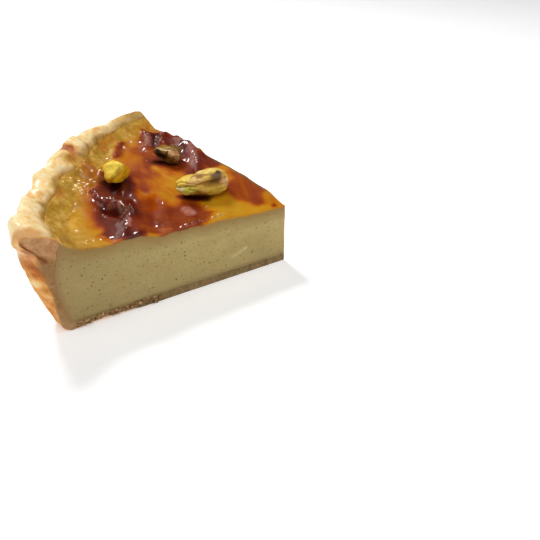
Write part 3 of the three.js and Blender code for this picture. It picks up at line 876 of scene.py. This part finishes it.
def kernel_surface(u, v, form):
    """Points of a kernel along its own X axis, as in the solids."""
    def bulge(value):
        return np.sign(value) * np.abs(value) ** form.squareness

    lengthwise = -bulge(np.cos(u * np.pi))
    turn = v * 2 * np.pi
    narrow = 1 - form.point * 0.5 * (1 - lengthwise)
    groove = form.split * gauss(turn - form.split_at, 0.32) * clamp01(1.1 - 0.9 * lengthwise)
    rough = 1 + 0.05 * waver(u * 7 + form.seed, turn + form.seed) - groove
    spread = 0.5 * np.abs(np.sin(u * np.pi)) ** form.squareness * narrow * rough
    across, up = form.width * spread * bulge(np.cos(turn)), form.height * spread * bulge(np.sin(turn))
    return shaved(stacked(0.5 * form.length * lengthwise, across, up), form)


def shaved(points, form):
    """Flat planes round the kernel, spread evenly over all directions."""
    half = 0.5 * np.array([form.length, form.width, form.height])
    for k in range(form.shave):
        up = 1 - 2 * (k + 0.5) / form.shave
        turn = 2.4 * k + form.seed
        flat = math.sqrt(1 - up * up)
        facing = np.array([flat * math.cos(turn), flat * math.sin(turn), up])
        limit = SHAVE_TO * np.linalg.norm(facing * half)
        over = np.maximum(0, points @ facing - limit)
        points = points - over[..., None] * facing
    return points


def kernel_tint(lengthwise, turn, kernel, points):
    """Linear colour at each corner of a kernel, from its ground and its marks."""
    stray = 0.16 * fractal(points, 2.6, 3, 141)
    colour = np.array([rgb(*kernel.ground)])
    for at, around, wide, wide_around, *mark in kernel.marks:
        away = (turn - around + 180) % 360 - 180
        share = gauss(lengthwise + stray - at, wide) * gauss(away + 90 * stray, wide_around)
        colour = mix(colour, rgb(*mark), smooth(share, 0.15, 0.75)[:, None])
    return colour


def make_kernel(kernel, material):
    form = kernel.form
    u = np.linspace(0, 1, KERNEL_RINGS + 1)[:, None]
    v = np.linspace(0, 1, KERNEL_SIDES + 1)[None, :]
    solid = Solid(kernel.name)
    solid.sheet(kernel_surface(u, v % 1, form), 0)
    piece = solid.build(material)
    mesh = piece.data
    plain, normals = read_shape(mesh)
    stretched = plain * (0.3, 1, 1)
    seed = form.seed
    relief = fractal(stretched, 2.6, 2, 121 + seed) + 0.3 * fractal(plain, 1.4, 2, 131 + seed)
    relief -= 0.9 * (1 - smooth(np.abs(noise(stretched, 2.9, 151 + seed)), 0, 0.28))
    relief *= kernel.wrinkles
    turn = np.degrees(np.arctan2(plain[:, 2] / form.height, plain[:, 1] / form.width))
    tint = kernel_tint(plain[:, 0] / (0.5 * form.length), turn, kernel, plain)
    colours = mesh.attributes.new("tint", "FLOAT_COLOR", "POINT").data
    colours.foreach_set("color", tint.astype(np.float32).ravel())
    write_values(mesh, furrow=clamp01(-relief * 2.2))
    write_points(mesh, laid(plain + normals * relief[:, None], plain, kernel))
    return piece


def laid(points, plain, kernel):
    """The kernel turned and tilted on the custard, low enough to touch it."""
    turns = Euler((0, math.radians(-kernel.tilt), math.radians(kernel.heading)))
    spin = np.array(turns.to_matrix()).T
    x, y, z = (plain @ spin + (*kernel.at, 0)).T
    ground = top_height(np.hypot(x, y), np.degrees(np.arctan2(-y, -x)))
    return points @ spin + (TIP_X + kernel.at[0], kernel.at[1], SUNK - (z - ground).min())


# Crumbs along the lower edge of the front cut: how many, and the range of their half-widths in mm.
CRUMBS = 100
CRUMB_SIZE = (0.25, 0.65)


def make_crumbs(material):
    random = np.random.default_rng(SEED + 11)
    solid = Solid("crumbs")
    u = np.linspace(0, np.pi, 7)[:, None]
    v = np.linspace(0, 1, 9) % 1 * 2 * np.pi
    ball = stacked(np.sin(u) * np.cos(v), np.sin(u) * np.sin(v), np.cos(u))
    turn = math.radians(HALF_ANGLE)
    outwards = np.array([math.sin(turn), -math.cos(turn), 0])
    for k in range(CRUMBS):
        r = FOOT_R - 5 - 32 * random.random() ** 1.3
        z = random.uniform(underside(r, HALF_ANGLE) + 0.3, BASE_TOP - 0.2)
        size = random.uniform(*CRUMB_SIZE)
        lump = ball * size * random.uniform(0.7, 1.3, 3) * (1 + 0.35 * noise(ball + 10 * k, 0.9))[..., None]
        solid.sheet(place(r, HALF_ANGLE, z) + outwards * 0.25 * size + lump, 0, lot=random.random())
    return solid.build(material)


def rgb(*values):
    """Linear colour from red, green and blue from 0 to 255."""
    shares = np.array(values) / 255
    linear = np.where(shares <= 0.04045, shares / 12.92, ((shares + 0.055) / 1.055) ** 2.4)
    return np.append(linear, 1)


# ---- Materials ----


class Value:
    """What a node gives. Arithmetic with it adds nodes."""

    def __init__(self, nodes, socket):
        self.nodes = nodes
        self.socket = socket

    def __add__(self, other):
        return self.nodes.math("ADD", self, other)

    def __sub__(self, other):
        return self.nodes.math("SUBTRACT", self, other)

    def __rsub__(self, other):
        return self.nodes.math("SUBTRACT", other, self)

    def __mul__(self, other):
        return self.nodes.math("MULTIPLY", self, other)


class Nodes:
    """Short ways to write a material's nodes. A colour is (red, green, blue) from 0 to 255."""

    def __init__(self, name):
        self.material = bpy.data.materials.new(name)
        self.material.use_nodes = True
        self.tree = self.material.node_tree
        self.coords = self.new("TexCoord", "Object", {})

    def new(self, kind, output, inputs, **settings):
        node = self.tree.nodes.new("ShaderNode" + kind)
        for key, setting in settings.items():
            setattr(node, key, setting)
        self.fill(node, inputs)
        return Value(self, node.outputs[output])

    def fill(self, node, inputs):
        for key, source in inputs.items():
            socket = node.inputs[key]
            if isinstance(source, Value):
                self.tree.links.new(source.socket, socket)
            else:
                socket.default_value = rgb(*source) if socket.type == "RGBA" else source

    def finish(self, **inputs):
        """The material, with these inputs of its shader."""
        named = {key.replace("_", " "): source for key, source in inputs.items()}
        self.fill(self.tree.nodes["Principled BSDF"], named)
        return self.material

    def value(self, name, output="Fac"):
        """A value that the mesh holds at its corners."""
        return self.new("Attribute", output, {}, attribute_name=name)

    def math(self, operation, a, b):
        return self.new("Math", 0, {0: a, 1: b}, operation=operation)

    def height(self):
        """Height above the table in mm."""
        return self.new("SeparateXYZ", "Z", {"Vector": self.coords}) * (1 / MM)

    def noise(self, size, detail=4, rough=0.55, stretch=None):
        """Noise between 0 and 1 whose features are size mm across."""
        where = self.coords
        if stretch:
            where = self.new("Mapping", "Vector", {"Vector": where, "Scale": stretch})
        inputs = {"Vector": where, "Scale": 1 / (size * MM), "Detail": detail, "Roughness": rough}
        return self.new("TexNoise", "Fac", inputs)

    def cells(self, size):
        """Distance from the nearest of points that are about size mm apart."""
        return self.new("TexVoronoi", "Distance", {"Vector": self.coords, "Scale": 1 / (size * MM)})

    def span(self, source, low, high, start=0, end=1):
        """source from low..high to start..end, held at the ends."""
        ends = {"From Min": low, "From Max": high, "To Min": start, "To Max": end}
        return self.new("MapRange", "Result", {"Value": source, **ends})

    def ramp(self, source, *stops):
        """A colour through stops of (place, red, green, blue)."""
        ramp = self.new("ValToRGB", "Color", {"Fac": source})
        elements = ramp.socket.node.color_ramp.elements
        while len(elements) < len(stops):
            elements.new(0.5)
        for element, (position, *colour) in zip(elements, stops):
            element.position = position
            element.color = rgb(*colour)
        return ramp

    def blend(self, share, a, b, how="MIX"):
        inputs = {"Factor": share, "A": a, "B": b}
        return self.new("Mix", "Result", inputs, data_type="RGBA", blend_type=how)

    def paint(self, colour, *layers):
        """A colour under layers of (share, colour)."""
        for share, over in layers:
            colour = self.blend(share, colour, over)
        return colour

    def bump(self, height, millimetres, strength):
        inputs = {"Height": height, "Distance": millimetres * MM, "Strength": strength}
        return self.new("Bump", "Normal", inputs)


SKIN_COLOURS = [
    (0, 206, 168, 76), (0.2, 196, 138, 18), (0.32, 188, 108, 6), (0.42, 170, 84, 8),
    (0.52, 146, 60, 10), (0.64, 122, 42, 12), (0.8, 98, 30, 12), (1, 58, 14, 8),
]


def skin_material():
    """The browned skin: golden to nearly black, olive by the rim, under a thin glossy film, with painted
    shadow under the kernels and a painted pinkish sheen on some ridges.
    """
    n = Nodes("flan_skin")
    amount = n.value("brown") + (n.noise(6, 5, 0.6) - 0.5) * 0.2 + (n.noise(0.9, 3, 0.6) - 0.5) * 0.06
    colour = n.paint(
        n.ramp(amount, *SKIN_COLOURS),
        (n.value("olive") * n.span(amount, 0.55, 0.25) * 0.9, olive_tone(n)),
        (n.value("furrow") * 0.35, (128, 92, 34)),
        (n.value("rind") * 0.8, (112, 92, 44)),
        # painted shadow under the kernels: near black
        (n.value("dull") * 0.88, (34, 9, 6)),
        # painted sheen: a pinkish reflection on some ridges
        (n.value("milky") * n.span(n.noise(1.6, 3, 0.6), 0.35, 0.6, 0.25, 0.6), (190, 132, 120)),
    )
    pimples = n.noise(1.3, 2, 0.5) * n.span(n.value("olive"), 0, 1, 0.5, 3)
    film = 1 - n.value("calm")
    return n.finish(
        Base_Color=colour, Roughness=0.45, IOR=1.4, Specular_IOR_Level=film * 0.1,
        Coat_Weight=film * 0.85, Coat_Roughness=n.span(n.noise(7, 3, 0.5), 0.3, 0.7, 0.08, 0.17),
        Coat_IOR=1.4, Subsurface_Weight=0.2, Subsurface_Scale=0.001,
        Normal=n.bump(n.noise(0.7, 2, 0.5) + pimples, 0.05, 0.5),
    )


def cut_material():
    """The custard where the knife went through: olive-beige, speckled, amber just under the skin."""
    n = Nodes("flan_custard_cut")
    tone = n.noise(3, 3, 0.5, (0.12, 0.12, 1)) * 0.35 + n.noise(12, 4, 0.5) * 0.65
    flecks = n.span(n.cells(1.6) + n.noise(2.3, 3) * 0.8, 0.64, 0.5)
    below = n.value("depth") + (n.noise(5, 3) - 0.5) * 1.8
    skin = n.blend(n.value("olive") * 0.9, n.ramp(n.value("brown"), *SKIN_COLOURS), olive_tone(n))
    colour = n.paint(
        n.ramp(tone, (0.3, 174, 153, 96), (0.5, 186, 164, 104), (0.7, 197, 176, 117)),
        (n.value("far") * 0.55, (158, 138, 88)),
        (n.value("wallward") * 0.35, (160, 130, 82)),
        (n.span(n.noise(2.2, 3, 0.6), 0.64, 0.78, 0, 0.5), (206, 192, 132)),
        (n.span(n.noise(0.9, 3, 0.6), 0.45, 0.65, 0, 0.22), (146, 124, 72)),
        (flecks * n.span(n.noise(1.9, 2), 0.35, 0.65, 0.3, 0.95), (98, 76, 38)),
        (n.value("smear") * n.span(n.noise(1.4, 3, 0.6), 0.3, 0.6, 0.2, 0.8), (216, 202, 150)),
        (n.span(below, 6.5, 0.8, 0, 0.95), (152, 120, 66)),
        (n.span(below, 1.1, 0.4), skin),
        # darker towards the bottom of the cut: partly browner custard, partly painted shade just above the
        # base
        (n.span(n.height(), 13, 4.5, 0, 0.4), (156, 132, 86)),
        (n.span(n.height(), 5.4, 3.6, 0, 0.6), (138, 114, 66)),
        (n.span(n.value("wallward"), 0.88, 1, 0, 0.9), (160, 124, 78)),
    )
    relief = n.span(n.cells(1.3), 0, 0.22) * 0.6 + n.noise(0.8, 3) * 0.6
    return n.finish(
        Base_Color=colour, Roughness=n.span(n.noise(5, 3), 0.3, 0.7, 0.4, 0.55), IOR=1.4,
        Specular_IOR_Level=0.3, Subsurface_Weight=0.3, Subsurface_Scale=0.0015,
        Normal=n.bump(relief, 0.07, 0.5),
    )


CRUST_COLOURS = [
    (0, 255, 234, 184), (0.25, 255, 217, 150), (0.5, 240, 178, 104), (0.75, 212, 134, 64),
    (1, 172, 96, 44),
]


def olive_tone(n):
    """Custard that browned only a little: olive, mottled with paler and darker spots."""
    mottle = n.noise(6, 3, 0.5) * 0.6 + n.noise(1.7, 3, 0.6) * 0.4
    return n.ramp(mottle, (0.32, 142, 104, 32), (0.5, 186, 142, 52), (0.66, 222, 182, 96))


def baked_colour(n):
    """Colour of the pastry's outside: pale gold on the rim, orange-tan on the wall, browner in creases, low
    places and hollows, partly from baking and partly as painted shade, and painted shade where it rounds
    off towards the front cut.
    """
    rim = n.value("rim")
    tone = n.span(n.noise(6, 4, 0.6), 0.3, 0.72, 0.08, 0.5) + n.noise(1.6, 4, 0.65) * 0.3
    tone = tone * n.span(rim, 0, 1, 1.05, 0.36) + n.span(rim, 0, 1, 0.12, 0)
    tone = tone + n.span(n.noise(2.4, 3, 0.6), 0.42, 0.64, -0.12, 0.18) * rim
    # shade: painted shade by the front cut, with paler and darker patches; crease and hollow: browner in
    # creases, low places and hollows, partly painted shade
    tone = tone + n.value("shade") * 0.26 + n.value("crease") * 0.3 + n.value("hollow") * 0.85
    # tan: painted shade where the crest rounds off towards the front cut
    return n.blend(n.value("tan") * 0.75, n.ramp(tone, *CRUST_COLOURS), (236, 168, 94))


def dough_colour(n):
    """Pinkish tan of the pastry where it was cut, paler in the rim than in the wall."""
    tone = n.noise(1, 5, 0.7) * 0.4 + n.noise(2.8, 4, 0.6) * 0.6
    wall = n.ramp(tone, (0.34, 132, 94, 52), (0.5, 158, 117, 71), (0.66, 182, 142, 94))
    wall = n.blend(n.span(n.height(), 12, 4, 0, 0.6), wall, (190, 152, 106))
    rim = n.ramp(tone, (0.34, 164, 114, 70), (0.5, 194, 144, 98), (0.66, 218, 172, 124))
    return n.blend(n.span(n.value("station"), 2.92, 3.2), wall, rim)


def crust_material():
    """The pastry's outside: glazed on the rim, matte on the wall."""
    n = Nodes("flan_crust_baked")
    rim, soaked = n.value("rim"), n.value("soaked")
    soaked = n.span(soaked + (n.noise(3, 3, 0.6) - 0.5) * 0.8 * soaked, 0, 1)
    relief = n.noise(0.8, 3, 0.6) + n.noise(2.4, 3) * 2
    colour = n.paint(baked_colour(n), (soaked * 0.9, olive_tone(n)), (n.value("dough"), dough_colour(n)))
    return n.finish(
        Base_Color=colour, Roughness=n.span(rim, 0, 1, 0.7, 0.42), IOR=1.45,
        Specular_IOR_Level=n.span(rim, 0, 1, 0.08, 0.3), Subsurface_Weight=0.2, Subsurface_Scale=0.001,
        Coat_Weight=rim * (1 - n.value("hollow")) * 0.45, Coat_Roughness=0.16,
        Normal=n.bump(relief, 0.12, 0.5),
    )


def crumb_material():
    """The pastry where it was cut: pinkish tan on the wall, dark and crumbly in the base."""
    n = Nodes("flan_crust_cut")
    station = n.value("station")
    grain = n.noise(1, 5, 0.7)
    tone = grain * 0.5 + n.noise(2.6, 4, 0.6, (1, 1, 0.5)) * 0.5
    colour = n.paint(
        n.ramp(tone, (0.3, 104, 82, 46), (0.5, 134, 110, 70), (0.72, 176, 146, 102)),
        (n.span(n.cells(1.2), 0.34, 0.22) * n.value("chips"), (92, 58, 26)),
        (n.span(station, 0.7, 1.1), n.blend(n.value("dough"), baked_colour(n), dough_colour(n))),
        (n.value("damp") * n.span(station, 0.9, 1.2, 0, 0.8), (160, 124, 78)),
        (n.value("seam") * 0.92, (142, 68, 20)),
    )
    return n.finish(
        Base_Color=colour, Roughness=0.6, Specular_IOR_Level=0.15, Subsurface_Weight=0.2,
        Subsurface_Scale=0.001, Normal=n.bump(grain, 0.25, 0.6),
    )


def crumb_bits_material():
    n = Nodes("crumbs_baked")
    tone = n.value("lot") * 0.7 + n.noise(0.5, 3) * 0.3
    colour = n.ramp(tone, (0.15, 104, 70, 34), (0.5, 160, 122, 76), (0.85, 216, 180, 134))
    return n.finish(Base_Color=colour, Roughness=0.6, Specular_IOR_Level=0.2)


def kernel_material():
    """Pistachio flesh with patches of the dry skin that stayed on it."""
    n = Nodes("kernel_flesh")
    grain = n.ramp(n.noise(1.3, 4, 0.65), (0.3, 196, 176, 150), (0.5, 255, 255, 255))
    colour = n.blend(0.7, n.value("tint", "Color"), grain, "MULTIPLY")
    return n.finish(
        Base_Color=n.blend(n.value("furrow") * 0.7, colour, (176, 132, 70), "MULTIPLY"), Roughness=0.5,
        Specular_IOR_Level=0.15, Coat_Weight=0.06, Coat_Roughness=0.25, Subsurface_Weight=0.15,
        Subsurface_Scale=0.0008, Normal=n.bump(n.noise(0.6, 4, 0.6) + n.noise(1.9, 3), 0.22, 0.7),
    )


def floor_material():
    """A white table that is lit from below a little."""
    n = Nodes("plain_floor")
    tone = n.ramp(n.noise(60, 2), (0, 248, 248, 248), (1, 252, 252, 252))
    return n.finish(Base_Color=tone, Roughness=0.9, Specular_IOR_Level=0, Emission_Color=tone,
                    Emission_Strength=0.25)


# ---- Put together ----

custard = make_custard(skin_material(), cut_material())
roughen_custard(custard)
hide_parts("custard")
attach(custard, "root")

crust = make_crust(crust_material(), crumb_material())
shape_crust(crust)
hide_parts("pastry_shell")
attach(crust, "root")

crumbs = make_crumbs(crumb_bits_material())
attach(crumbs, "root")

flesh = kernel_material()
for kernel in KERNELS:
    nut = make_kernel(kernel, flesh)
    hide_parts(kernel.node)
    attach(nut, "root")

# ---- Floor, light and camera ----

CAMERA_AT = (TIP_X + 16.41, -169.91, 130.92)
CAMERA_TO = (TIP_X - 2.2, -28.68, 16.8)
LENS = 33.39
LIT_PLACE = (0.01, 0, 0.03)
FLOOR_SIZE = 5


def add_floor():
    bpy.ops.mesh.primitive_plane_add(size=FLOOR_SIZE)
    floor = bpy.context.object
    floor.name = "floor"
    floor.data.materials.append(floor_material())


def aim(thing, at, target):
    thing.location = at
    thing.rotation_euler = (Vector(target) - Vector(at)).to_track_quat("-Z", "Y").to_euler()


def add_light(name, at, size, power, colour=(1, 1, 1)):
    """A square soft light that faces the slice. Place and size in metres, power in watts."""
    data = bpy.data.lights.new(name, "AREA")
    data.shape = "RECTANGLE"
    data.size, data.size_y = size
    data.energy = power
    data.color = colour
    aim(add_object(name, data), at, LIT_PLACE)


def add_camera():
    data = bpy.data.cameras.new("camera")
    data.sensor_width = 36
    data.lens = LENS
    data.clip_start = 0.01
    camera = add_object("camera", data)
    aim(camera, Vector(CAMERA_AT) * MM, Vector(CAMERA_TO) * MM)
    bpy.context.scene.camera = camera


def add_world(strength):
    world = bpy.data.worlds.new("soft_room")
    world.use_nodes = True
    background = world.node_tree.nodes["Background"]
    background.inputs["Color"].default_value = (1, 1, 1, 1)
    background.inputs["Strength"].default_value = strength
    bpy.context.scene.world = world


add_floor()
add_light("key_high", (-0.28, 0.3, 0.62), (0.16, 0.16), 3.2)
add_light("overhead", (0.12, -0.25, 1), (1, 0.8), 5)
add_light("back_left_panel", (-0.72, 0.62, 0.4), (0.45, 0.35), 0.75, (1, 0.86, 0.82))
add_light("front_fill", (0.35, -0.9, 0.45), (0.7, 0.5), 1.3)
add_light("left_fill", (-0.9, -0.2, 0.35), (0.5, 0.5), 1.05)
add_light("right_fill", (0.85, 0.15, 0.55), (0.4, 0.4), 1.6)
add_world(0.06)
add_camera()
bpy.context.scene.view_settings.view_transform = "Standard"
